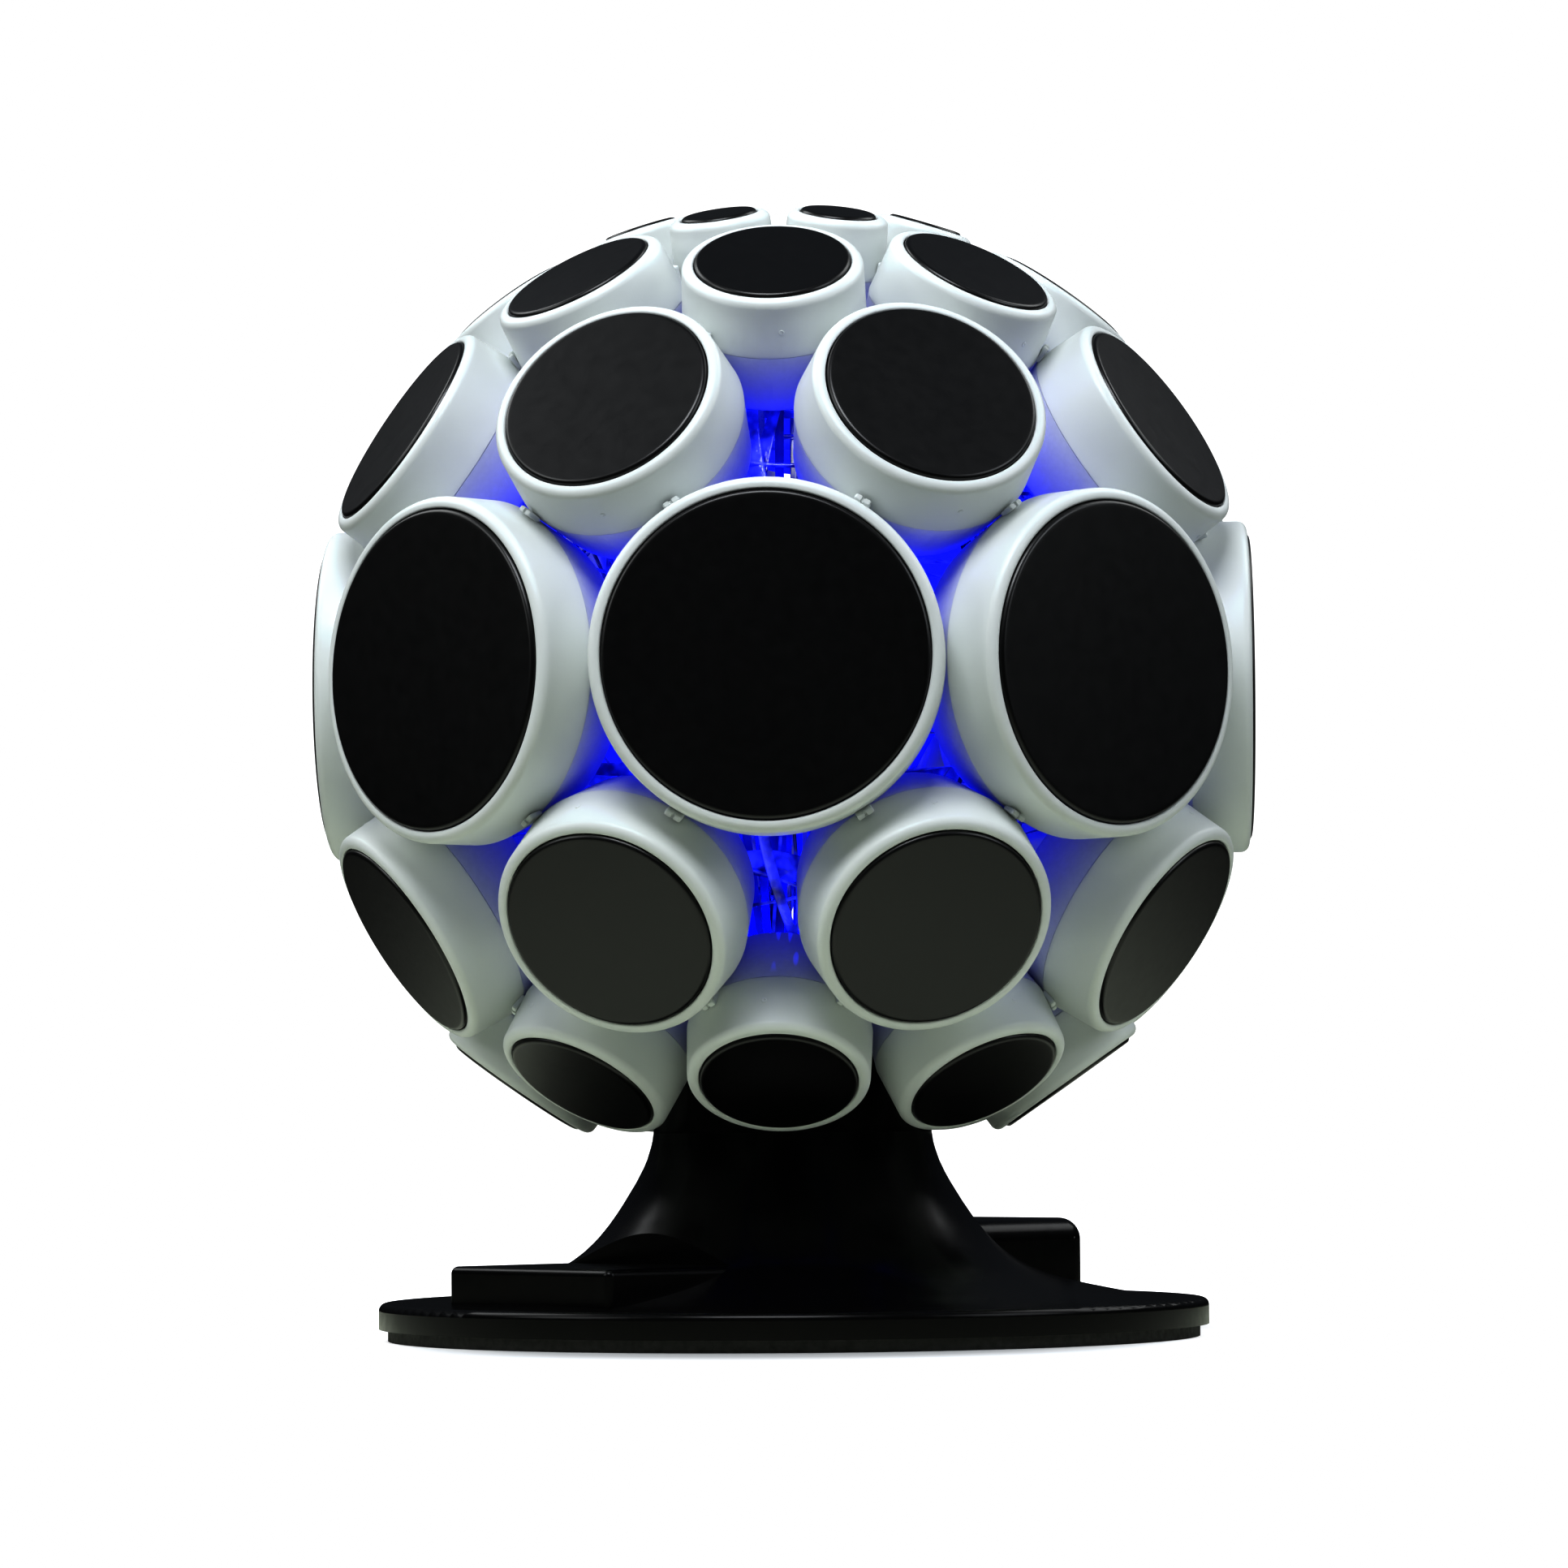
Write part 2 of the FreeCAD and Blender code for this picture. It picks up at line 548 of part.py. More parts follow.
def main_board():
    """Round board on the foot plate's standoffs, with a processor and a row of connectors."""
    base = FOOT_THICKNESS + STANDOFF_HEIGHT
    board = Part.makeCylinder(MAIN_BOARD_RADIUS, BOARD_THICKNESS, vec(0, 0, base))
    top = base + BOARD_THICKNESS
    chips = [Part.makeBox(14, 14, 1.4, vec(-26, -7, top)), Part.makeBox(9, 6, 1.2, vec(14, -16, top)),
             Part.makeBox(9, 6, 1.2, vec(14, 10, top))]
    return board.fuse(chips)


def port_sockets():
    data, power = socket_places()
    socket = box_behind(DATA_SOCKET, data).cut(box_behind(DATA_MOUTH, data))
    width, height, depth = DATA_TONGUE
    root = DATA_MOUTH[2]
    tongue = Part.makeBox(depth, width, height,
                          data - vec(root, width / 2, height / 2))
    jack = along_x(POWER_SOCKET_RADIUS, POWER_SOCKET_DEPTH, power)
    jack = jack.cut(along_x(POWER_MOUTH_RADIUS, POWER_MOUTH_DEPTH, power))
    pin = Part.makeCylinder(POWER_PIN_RADIUS, POWER_MOUTH_DEPTH - 1,
                            power - vec(POWER_MOUTH_DEPTH, 0, 0), X)
    return [to_azimuth(socket.fuse(tongue), PORT_AZIMUTH), to_azimuth(jack.fuse(pin), PORT_AZIMUTH)]


# ---------------------------------------------------------------- write the parts
def write(name, shapes):
    shape = Part.makeCompound(shapes) if len(shapes) > 1 else shapes[0]
    shape.exportStep("parts/" + name + ".step")


def main():
    os.makedirs("parts", exist_ok=True)
    units = {"bezel_rings": bezel_ring, "pad_cups": pad_cup, "sensor_boards": sensor_board}
    for name, make in units.items():
        solids = []
        for row in ROWS:
            one = make(row)
            solids += [to_radial(one, row.elevation, azimuth) for azimuth in row.azimuths]
        write(name, solids)
    for row in ROWS:
        one = pad(row)
        for k, azimuth in enumerate(row.azimuths):
            write("pad_%s_%d" % (row.name, k + 1), [to_radial(one, row.elevation, azimuth)])
    write("cup_clips", cup_clips())
    write("flex_leads", flex_leads())
    write("globe_frame", globe_frame())
    write("junction_board", [junction_board()])
    write("base_cover", [base_cover()])
    write("foot_plate", [foot_plate()])
    write("foot_screws", [foot_screw(spot) for spot in screw_places()])
    write("main_board", [main_board()])
    write("port_sockets", port_sockets())
    for row in ROWS:
        print("%-10s lip plane %.2f opening %.2f lip %.2f hem %.2f half angle %.2f floor %.2f" % (
            row.name, row.lip, row.opening, row.lip_radius, row.hem_radius, row.half_angle, row.floor))
    print("neck radius %.2f globe centre %.2f" % (NECK.radius, CENTRE.z))


main()
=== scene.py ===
import json
import math
import random

import bpy
from mathutils import Matrix, Vector


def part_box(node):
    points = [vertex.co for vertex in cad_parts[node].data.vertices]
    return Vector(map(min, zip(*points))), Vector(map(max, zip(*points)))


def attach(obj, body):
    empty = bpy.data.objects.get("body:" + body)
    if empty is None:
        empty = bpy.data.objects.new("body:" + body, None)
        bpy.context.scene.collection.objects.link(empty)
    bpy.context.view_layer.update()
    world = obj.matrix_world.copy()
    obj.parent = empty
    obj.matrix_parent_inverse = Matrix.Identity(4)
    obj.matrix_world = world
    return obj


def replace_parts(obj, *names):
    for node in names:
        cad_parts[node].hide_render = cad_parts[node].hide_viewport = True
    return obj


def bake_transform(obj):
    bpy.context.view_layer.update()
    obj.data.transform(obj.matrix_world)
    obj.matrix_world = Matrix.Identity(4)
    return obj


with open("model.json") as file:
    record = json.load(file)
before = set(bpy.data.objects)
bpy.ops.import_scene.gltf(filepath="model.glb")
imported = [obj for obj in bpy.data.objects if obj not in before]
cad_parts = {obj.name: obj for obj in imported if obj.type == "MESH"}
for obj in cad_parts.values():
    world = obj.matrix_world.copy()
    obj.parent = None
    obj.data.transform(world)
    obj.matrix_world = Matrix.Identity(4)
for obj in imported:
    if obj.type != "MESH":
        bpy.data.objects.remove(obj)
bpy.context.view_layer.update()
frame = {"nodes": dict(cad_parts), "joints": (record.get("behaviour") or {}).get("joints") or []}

# The visual model of a globe of drum pads on a trumpet-shaped foot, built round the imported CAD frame.
# Names with no unit are in metres; profiles and the tables of rings, pads and clips are in millimetres.
MM = 0.001
scene = bpy.context.scene
nodes = frame["nodes"]


def middle(node):
    low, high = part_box(node)
    return (low + high) / 2


# ---------------------------------------------------------------- the globe's rows, as in the frame
CENTRE = Vector((0, 0, (middle("pad_upper_1").z + middle("pad_lower_1").z) / 2))
# row: lip plane, opening radius, lip radius, hem radius (mm from the globe's centre, or from the pad's axis)
ROWS = {
    "crown": (133.50, 10.52, 13.72, 14.22),
    "upper": (132.01, 20.94, 24.14, 24.54),
    "upper_mid": (130.38, 28.57, 31.77, 32.47),
    "equator": (126.25, 42.32, 45.52, 45.52),
    "lower_mid": (130.38, 28.57, 31.77, 32.47),
    "lower": (132.01, 20.94, 24.14, 24.54),
}
AXES = {}          # pad node -> outward direction, from the pads' joints
for joint in frame["joints"]:
    AXES[joint["child"]] = -Vector(joint["axis"]).normalized()


def row_of(pad_node):
    return pad_node[len("pad_"):].rsplit("_", 1)[0]


def placed(direction, height):
    """Matrix of a local frame whose z runs out along direction, at that height in mm."""
    turn = direction.to_track_quat("Z", "Y").to_matrix().to_4x4()
    return Matrix.Translation(CENTRE + direction * height * MM) @ turn


# ---------------------------------------------------------------- materials
class Shader:
    """A procedural material: one Principled surface, with patterns in the object's own coordinates."""

    def __init__(self, name):
        self.material = bpy.data.materials.new(name)
        self.material.use_nodes = True
        self.tree = self.material.node_tree
        self.tree.nodes.clear()
        self.out = self.tree.nodes.new("ShaderNodeOutputMaterial")
        self.body = self.tree.nodes.new("ShaderNodeBsdfPrincipled")
        self.link(self.body.outputs[0], self.out.inputs["Surface"])
        self.coords = self.tree.nodes.new("ShaderNodeTexCoord").outputs["Object"]

    def link(self, a, b):
        self.tree.links.new(a, b)

    def set(self, **values):
        """Sets the surface's own sockets, which are named with _ for a space."""
        for key, value in values.items():
            self.body.inputs[key.replace("_", " ")].default_value = value

    def node(self, kind, inputs=None, **settings):
        made = self.tree.nodes.new("ShaderNode" + kind)
        for key, value in settings.items():
            setattr(made, key, value)
        for key, value in (inputs or {}).items():
            if isinstance(value, bpy.types.NodeSocket):
                self.link(value, made.inputs[key])
            else:
                made.inputs[key].default_value = value
        return made

    def noise(self, scale, detail=3.0, roughness=0.55, vector=None):
        return self.node("TexNoise", {"Vector": vector or self.coords, "Scale": scale, "Detail": detail,
                                      "Roughness": roughness}).outputs["Fac"]

    def ramp(self, value, stops):
        """A colour ramp; stops are (place, colour), from low to high."""
        made = self.node("ValToRGB", {"Fac": value})
        elements = made.color_ramp.elements
        while len(elements) < len(stops):
            elements.new(0.5)
        for element, (place, colour) in zip(elements, stops):
            element.position = place
            element.color = colour if len(colour) == 4 else (*colour, 1)
        return made.outputs["Color"]

    def span(self, value, low, high, to_low=0.0, to_high=1.0):
        """Maps low..high to to_low..to_high, and stays inside it."""
        return self.node("MapRange", {"Value": value, "From Min": low, "From Max": high,
                                      "To Min": to_low, "To Max": to_high}).outputs["Result"]

    def math(self, operation, a, b):
        made = self.node("Math", operation=operation)
        for socket, value in zip(made.inputs, (a, b)):
            if isinstance(value, bpy.types.NodeSocket):
                self.link(value, socket)
            else:
                socket.default_value = value
        return made.outputs[0]

    def bump(self, height, distance, strength, normal=None):
        inputs = {"Height": height, "Distance": distance, "Strength": strength}
        if normal is not None:
            inputs["Normal"] = normal
        return self.node("Bump", inputs).outputs["Normal"]

    def wire(self, **links):
        for key, value in links.items():
            self.link(value, self.body.inputs[key.replace("_", " ")])

    def distance_from(self, point):
        away = self.node("VectorMath", {0: self.coords, 1: tuple(point)}, operation="DISTANCE")
        return away.outputs["Value"]


def grey(value):
    return (value, value, value, 1)


def bezel_material():
    """Matt white moulded plastic, slightly uneven."""
    s = Shader("bezel_plastic")
    cloud = s.noise(26, 2)
    tint = s.ramp(cloud, [(0.3, (0.70, 0.737, 0.722)), (0.7, (0.745, 0.777, 0.764))])
    s.wire(Base_Color=tint, Roughness=s.span(s.noise(420, 3), 0.3, 0.7, 0.36, 0.5))
    fine = s.bump(s.noise(2600, 2), 0.00004, 0.35)
    s.wire(Normal=s.bump(s.noise(180, 2), 0.00006, 0.25, fine))
    s.set(Specular_IOR_Level=0.4)
    return s.material


# how far from the globe's centre a cup stops being white and is fully lit by its painted blue light, and the
# heights between which the painted glow grows above the neck, weakens in the upper rows, and the painted light
# streaks fade in the lower rows (m)
CUP_WHITE, CUP_LIT = 0.120, 0.088
GLOW_STARTS, GLOW_FULL, GLOW_WEAKENS, GLOW_WEAK = 0.095, 0.20, 0.20, 0.265
PAINTED_STREAKS_END, PAINTED_STREAKS_FULL = 0.13, 0.10


def cup_material():
    """Milky plastic with painted blue light: a painted blue tint and a painted glow, both growing towards the
    globe's centre.
    """
    s = Shader("cup_milky_plastic_painted_glow")
    inward = s.span(s.distance_from(CENTRE), CUP_WHITE, CUP_LIT)
    cloud = s.span(s.noise(34, 3), 0.3, 0.7, 0.65, 1.3)
    # painted blue light: the base colour turns from white to deep blue towards the globe's centre
    tint = s.ramp(inward, [(0.0, (0.68, 0.71, 0.77)), (0.3, (0.56, 0.58, 0.77)),
                           (0.6, (0.38, 0.39, 0.71)), (0.95, (0.02, 0.03, 0.60))])
    speckle = s.span(s.noise(700, 2), 0.3, 0.7, 0.94, 1.0)
    s.wire(Base_Color=s.node("VectorMath", {0: tint, 1: speckle}, operation="MULTIPLY").outputs[0])
    s.wire(Roughness=s.span(s.noise(300, 2), 0.3, 0.7, 0.4, 0.55))
    # painted glow: blue emission in a cup that is no lamp, stronger towards the centre
    glow = s.ramp(inward, [(0.0, grey(0.02)), (0.35, grey(0.19)), (0.7, grey(0.6)), (1.0, grey(0.9))])
    # painted glow, as from lamps standing low inside: what faces down gets most, the upper cups less, the
    # neck's side nothing
    place = s.node("SeparateXYZ", {0: s.coords}).outputs["Z"]
    facing = s.node("SeparateXYZ", {0: s.node("NewGeometry").outputs["Normal"]}).outputs["Z"]
    painted_glow_share = s.math("MULTIPLY", s.span(facing, 0.5, -0.6, 0.35, 1.25), s.span(place, GLOW_STARTS, GLOW_FULL))
    painted_glow_share = s.math("MULTIPLY", painted_glow_share, s.span(place, GLOW_WEAKENS, GLOW_WEAK, 1.0, 0.5))
    # painted streaks of light, as if bent by the films, on what faces up in the lower half
    long_way = s.node("Mapping", {"Vector": s.coords, "Rotation": (0.0, math.radians(-32), 0.0),
                                  "Scale": (260.0, 60.0, 16.0)}).outputs["Vector"]
    painted_streaks = s.span(s.noise(1.0, 1, vector=long_way), 0.60, 0.66, 0.0, 0.9)
    low_and_up = s.math("MULTIPLY", s.span(facing, 0.2, 0.6), s.span(place, PAINTED_STREAKS_END, PAINTED_STREAKS_FULL))
    painted_streaks = s.math("MULTIPLY", painted_streaks, low_and_up)
    painted_streaks = s.math("MULTIPLY", painted_streaks, s.span(inward, 0.1, 0.4))
    even = s.math("MULTIPLY", s.math("MULTIPLY", glow, cloud), painted_glow_share)
    s.wire(Emission_Strength=s.math("ADD", even, painted_streaks))
    s.set(Emission_Color=(0.006, 0.012, 1, 1))
    s.wire(Normal=s.bump(s.noise(900, 2), 0.00005, 0.3))
    return s.material


def pad_material():
    """Black rubber with a fine grain."""
    s = Shader("pad_rubber")
    tint = s.ramp(s.noise(30, 4), [(0.3, grey(0.0008)), (0.7, grey(0.0016))])
    grain = s.noise(3200, 2, 0.6)
    s.wire(Base_Color=tint, Roughness=s.span(s.noise(260, 4), 0.3, 0.7, 0.31, 0.35))
    s.wire(Normal=s.bump(grain, 0.00003, 0.3))
    s.set(Specular_IOR_Level=0.5)
    return s.material


def base_material():
    s = Shader("base_gloss_black")
    tint = s.ramp(s.noise(24, 3), [(0.3, grey(0.0008)), (0.7, grey(0.0016))])
    s.wire(Base_Color=tint, Roughness=s.span(s.noise(240, 3), 0.3, 0.7, 0.22, 0.27))
    s.wire(Normal=s.bump(s.noise(1400, 2), 0.00001, 0.2))
    s.set(Specular_IOR_Level=0.15)
    return s.material


def foot_material():
    s = Shader("foot_rubber")
    tint = s.ramp(s.noise(200, 4), [(0.3, grey(0.001)), (0.7, grey(0.003))])
    s.wire(Base_Color=tint, Roughness=s.span(s.noise(500, 2), 0.3, 0.7, 0.6, 0.8))
    s.wire(Normal=s.bump(s.noise(1800, 2), 0.0001, 0.5))
    return s.material


def board_material():
    s = Shader("board_laminate")
    tracks = s.node("TexBrick", {"Vector": s.coords, "Scale": 160.0, "Color1": (0.003, 0.02, 0.012, 1),
                                 "Color2": (0.004, 0.03, 0.016, 1), "Mortar": (0.02, 0.10, 0.05, 1),
                                 "Mortar Size": 0.03})
    s.wire(Base_Color=tracks.outputs["Color"], Roughness=s.span(s.noise(300), 0.3, 0.7, 0.3, 0.45))
    s.wire(Normal=s.bump(tracks.outputs["Fac"], 0.00004, 0.4))
    return s.material


def lead_material():
    s = Shader("lead_film_painted_glow")
    stripes = s.node("TexWave", {"Vector": s.coords, "Scale": 190.0, "Distortion": 0.4, "Detail": 1.0})
    cloud = s.noise(42, 2)
    # painted lamp light: the lead's blue runs from dark to bright in patches
    tint = s.ramp(cloud, [(0.38, (0.002, 0.003, 0.10)), (0.62, (0.02, 0.04, 0.75))])
    s.wire(Base_Color=tint, Roughness=s.span(s.noise(160), 0.3, 0.7, 0.12, 0.3))
    # painted glow in the bright patches: the lead is no lamp
    s.wire(Emission_Strength=s.span(cloud, 0.42, 0.66, 0.01, 0.32))
    s.set(Emission_Color=(0.004, 0.008, 1, 1))
    s.wire(Normal=s.bump(stripes.outputs["Fac"], 0.0001, 0.5))
    return s.material


def film_material():
    """Clear film with the lamps' light painted on: painted blue, dark here and bright there, a painted glow
    where bright, and glossy.
    """
    s = Shader("inner_clear_film_painted_glow")
    cloud = s.noise(75, 3, 0.6)
    tint = s.ramp(cloud, [(0.36, (0.001, 0.002, 0.06)), (0.5, (0.01, 0.02, 0.55)), (0.72, (0.25, 0.3, 0.95))])
    s.wire(Base_Color=tint, Roughness=s.span(s.noise(220), 0.3, 0.7, 0.05, 0.16))
    # painted glow where the film is painted bright
    s.wire(Emission_Strength=s.span(cloud, 0.46, 0.72, 0.0, 0.85))
    s.set(Emission_Color=(0.01, 0.02, 1, 1), Specular_IOR_Level=0.8)
    s.wire(Normal=s.bump(s.noise(420, 3), 0.0004, 0.7))
    return s.material


def lamp_material():
    s = Shader("lamp_lens_blue")
    s.wire(Base_Color=s.ramp(s.noise(900, 2), [(0.3, (0.05, 0.08, 0.8)), (0.7, (0.1, 0.14, 0.95))]),
           Roughness=s.span(s.noise(1500), 0.3, 0.7, 0.04, 0.1))
    s.set(Emission_Color=(0.02, 0.05, 1, 1), Emission_Strength=4.0)
    return s.material


def frame_material():
    s = Shader("frame_plastic")
    tint = s.ramp(s.noise(50, 4), [(0.3, grey(0.05)), (0.7, grey(0.08))])
    s.wire(Base_Color=tint, Roughness=s.span(s.noise(260), 0.3, 0.7, 0.4, 0.55))
    s.wire(Normal=s.bump(s.noise(1200, 2), 0.00004, 0.3))
    return s.material


def screw_material():
    s = Shader("screw_steel")
    tint = s.ramp(s.noise(900, 3), [(0.3, grey(0.18)), (0.7, grey(0.30))])
    s.wire(Base_Color=tint, Roughness=s.span(s.noise(600), 0.3, 0.7, 0.28, 0.42))
    s.set(Metallic=1.0)
    s.wire(Normal=s.bump(s.noise(3000, 2), 0.00003, 0.4))
    return s.material


def socket_material():
    s = Shader("socket_metal")
    tint = s.ramp(s.noise(700, 3), [(0.3, grey(0.45)), (0.7, grey(0.6))])
    s.wire(Base_Color=tint, Roughness=s.span(s.noise(500), 0.3, 0.7, 0.22, 0.35))
    s.set(Metallic=1.0)
    s.wire(Normal=s.bump(s.noise(2600, 2), 0.00003, 0.4))
    return s.material


BEZEL, CUP, PAD, BASE = bezel_material(), cup_material(), pad_material(), base_material()
BOARD, LEAD, FILM, LAMP = board_material(), lead_material(), film_material(), lamp_material()
for name, material in {
    "bezel_rings": BEZEL, "cup_clips": BEZEL, "pad_cups": CUP, "sensor_boards": BOARD, "flex_leads": LEAD,
    "globe_frame": frame_material(), "junction_board": BOARD, "main_board": BOARD, "base_cover": BASE,
    "foot_plate": foot_material(), "foot_screws": screw_material(), "port_sockets": socket_material(),
}.items():
    nodes[name].data.materials.clear()
    nodes[name].data.materials.append(material)


# ---------------------------------------------------------------- turned pieces
def arc(cx, cz, radius, start, end, steps):
    """Points of an arc in the profile plane, angles in degrees."""
    return [(cx + radius * math.cos(math.radians(start + (end - start) * i / steps)),
             cz + radius * math.sin(math.radians(start + (end - start) * i / steps)))
            for i in range(steps + 1)]


def turned(name, profile, segments):
    """Closed mesh of a profile turned about z: (radius, height) in mm, from axis to axis or all round."""
    verts, faces, rings = [], [], []
    for radius, height in profile:
        if radius < 1e-6:
            rings.append([len(verts)])
            verts.append((0, 0, height * MM))
        else:
            rings.append(list(range(len(verts), len(verts) + segments)))
            for i in range(segments):
                a = 2 * math.pi * i / segments
                verts.append((radius * math.cos(a) * MM, radius * math.sin(a) * MM, height * MM))
    on_axis = len(rings[0]) == 1
    pairs = list(zip(rings, rings[1:])) + ([] if on_axis else [(rings[-1], rings[0])])
    for a, b in pairs:
        for i in range(segments):
            j = (i + 1) % segments
            if len(a) == 1:
                faces.append((a[0], b[i], b[j]))
            elif len(b) == 1:
                faces.append((a[i], b[0], a[j]))
            else:
                faces.append((a[i], b[i], b[j], a[j]))
    mesh = bpy.data.meshes.new(name)
    mesh.from_pydata(verts, [], faces)
    mesh.validate()
    mesh.polygons.foreach_set("use_smooth", [True] * len(mesh.polygons))
    return mesh


LIP_ROUND, LIP_INNER_ROUND, LIP_THICKNESS, SKIRT_WALL, SKIRT_HEIGHT = 2.3, 0.6, 2.5, 1.3, 16.0
HEM_ROUND = 0.2
HEM_DROP = 0.22     # the hem comes this much nearer to the cup's shoulder than the CAD ring's
SEGMENTS = {"crown": 80, "upper": 112, "upper_mid": 128, "equator": 160, "lower_mid": 128, "lower": 112}


def bezel_profile(row):
    """Section of a ring, from its lip plane at height 0 down to the hem."""
    _, opening, lip, hem = ROWS[row]
    bore, low = lip - SKIRT_WALL, -SKIRT_HEIGHT - HEM_DROP
    points = arc(opening + LIP_INNER_ROUND, -LIP_INNER_ROUND, LIP_INNER_ROUND, 180, 90, 5)
    points += arc(lip - LIP_ROUND, -LIP_ROUND, LIP_ROUND, 90, 0, 12)
    drop = -low - LIP_ROUND - HEM_ROUND
    points += [(lip + (hem - lip) * k, -LIP_ROUND - drop * k) for k in (0.08, 0.25, 0.5, 0.75, 0.92)]
    points += arc(hem - HEM_ROUND, low + HEM_ROUND, HEM_ROUND, 0, -90, 4)
    points += arc(bore + HEM_ROUND * 0.6, low + HEM_ROUND * 0.6, HEM_ROUND * 0.6, -90, -180, 3)
    points += [(bore, -LIP_THICKNESS - 4), (bore, -LIP_THICKNESS - 0.4), (bore - 0.4, -LIP_THICKNESS)]
    return points + [(opening + 0.15, -LIP_THICKNESS), (opening, -LIP_THICKNESS + 0.15)]


# small round moulding marks on the skirts: size in mm, turn in degrees from the ring's lowest point, and
# place as a share of the skirt's height below the lip
MARK_RADIUS, MARK_HEIGHT = 0.75, 0.08
MARK_TURN, MARK_PLACE = 7, 0.55


def mark_profile():
    r, h = MARK_RADIUS, MARK_HEIGHT
    return [(0, h * 0.1), (r * 0.45, h * 0.1), (r * 0.62, h), (r * 0.85, h), (r, 0), (r, -0.4), (0, -0.4)]


def make_bezels():
    """One ring to each pad, with a moulding mark on its lower side and, on the larger ones, one opposite."""
    shapes = {row: turned("bezel_" + row, bezel_profile(row), SEGMENTS[row]) for row in ROWS}
    mark = turned("gate_mark", mark_profile(), 20)
    mark.materials.append(BEZEL)
    for mesh in shapes.values():
        mesh.materials.append(BEZEL)
    for pad_node, axis in sorted(AXES.items()):
        row = row_of(pad_node)
        lip_plane, _, lip, hem = ROWS[row]
        ring = bpy.data.objects.new(pad_node.replace("pad_", "bezel_"), shapes[row])
        scene.collection.objects.link(ring)
        ring.matrix_world = placed(axis, lip_plane)
        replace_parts(ring, "bezel_rings")
        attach(ring, "root")
        down = Vector((0, 0, -1)) - axis * Vector((0, 0, -1)).dot(axis)
        down.normalize()
        for turn_deg in (0, 180) if row != "crown" else (0,):
            side = Matrix.Rotation(math.radians(turn_deg + MARK_TURN), 3, axis) @ down
            radius = lip + (hem - lip) * MARK_PLACE
            at = CENTRE + (axis * (lip_plane - SKIRT_HEIGHT * MARK_PLACE) + side * radius) * MM
            spot = bpy.data.objects.new("%s_mark_%d" % (ring.name, turn_deg), mark)
            scene.collection.objects.link(spot)
            spot.matrix_world = Matrix.Translation(at) @ side.to_track_quat("Z", "Y").to_matrix().to_4x4()
            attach(spot, "root")


# gap to the opening, rise of the face above the lip, its crown, and its edge (mm)
PAD_GAP, PAD_RISE, PAD_CROWN, PAD_ROUND = 0.22, 0.75, 0.12, 1.2


def pad_profile(opening):
    """Section of a pad: face, edge, the web down to the clamped margin, and back along the underside."""
    edge = opening - PAD_GAP
    flat = edge - PAD_ROUND
    top = [(flat * k, PAD_RISE + PAD_CROWN * (1 - k * k)) for k in (0, 0.25, 0.5, 0.7, 0.85, 0.94, 0.98)]
    shoulder = arc(flat, PAD_RISE - PAD_ROUND, PAD_ROUND, 90, 0, 8)
    web_top = [(edge, -1.90), (edge + 0.05, -2.10), (edge + 0.12, -2.25), (edge + 0.25, -2.42),
               (edge + 0.42, -2.60), (edge + 0.6, -2.76)]
    margin = [(opening + 0.5, -2.79), (opening + 0.5, -3.06)]
    web_low = [(edge + 0.5, -3.06), (edge + 0.3, -2.80), (edge + 0.12, -2.58), (edge - 0.03, -2.40),
               (edge - 0.15, -2.25), (edge - 0.5, -2.24)]
    under = [(edge * 0.6, -2.2), (0, -2.2)]
    return top + shoulder + web_top + margin + web_low + under


def make_pads():
    """The pads' faces, with the web and clamped margin, in place of the CAD pads."""
    for pad_node, axis in sorted(AXES.items()):
        row, name = row_of(pad_node), pad_node + "_face"
        lip, opening = ROWS[row][:2]
        piece = bpy.data.objects.new(name, turned(name, pad_profile(opening), SEGMENTS[row]))
        scene.collection.objects.link(piece)
        piece.data.transform(placed(axis, lip))
        piece.data.materials.append(PAD)
        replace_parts(piece, pad_node)
        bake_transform(piece)


# ---------------------------------------------------------------- clips in the grooves
PAIRS = [("equator", "upper_mid"), ("equator", "lower_mid"), ("upper", "upper_mid"), ("lower", "lower_mid"),
         ("upper", "crown")]
CLIP_LENGTH, CLIP_WIDTH, CLIP_SINK, CLIP_DEPTH = 4.6, 1.5, 2.4, 4.5
CLIP_SLIT, CLIP_LIFT = 0.45, 7.5     # half the slit's width; origin above where the hems come closest


def rounded_bar(length, width, top, bottom, slot_width):
    """Lug with rounded long edges and a slit across its top: sections along x, in mm."""
    half, r = width / 2, min(0.45, width * 0.3)
    verts, faces = [], []

    def section(x, roof, inset):
        w = half - inset
        loop = [(w, bottom)] + [(w - r + a, roof - r + b) for a, b in arc(0, 0, r, 0, 90, 3)]
        loop += [(-w + r + a, roof - r + b) for a, b in arc(0, 0, r, 90, 180, 3)] + [(-w, bottom)]
        start = len(verts)
        verts.extend((x * MM, y * MM, z * MM) for y, z in loop)
        return list(range(start, len(verts)))

    end = length / 2
    places = [(-end, top - 0.5, 0.3), (-end + 0.2, top - 0.12, 0.08), (-end + 0.5, top, 0)]
    places += [(-slot_width, top, 0), (-slot_width + 0.1, top - 0.7, 0), (slot_width - 0.1, top - 0.7, 0)]
    places += [(slot_width, top, 0), (end - 0.5, top, 0), (end - 0.2, top - 0.12, 0.08), (end, top - 0.5, 0.3)]
    loops = [section(*place) for place in places]
    for a, b in zip(loops, loops[1:]):
        n = len(a)
        faces += [(a[i], a[(i + 1) % n], b[(i + 1) % n], b[i]) for i in range(n)]
    faces += [tuple(reversed(loops[0])), tuple(loops[-1])]
    mesh = bpy.data.meshes.new("clip")
    mesh.from_pydata(verts, [], faces)
    mesh.validate()
    return mesh


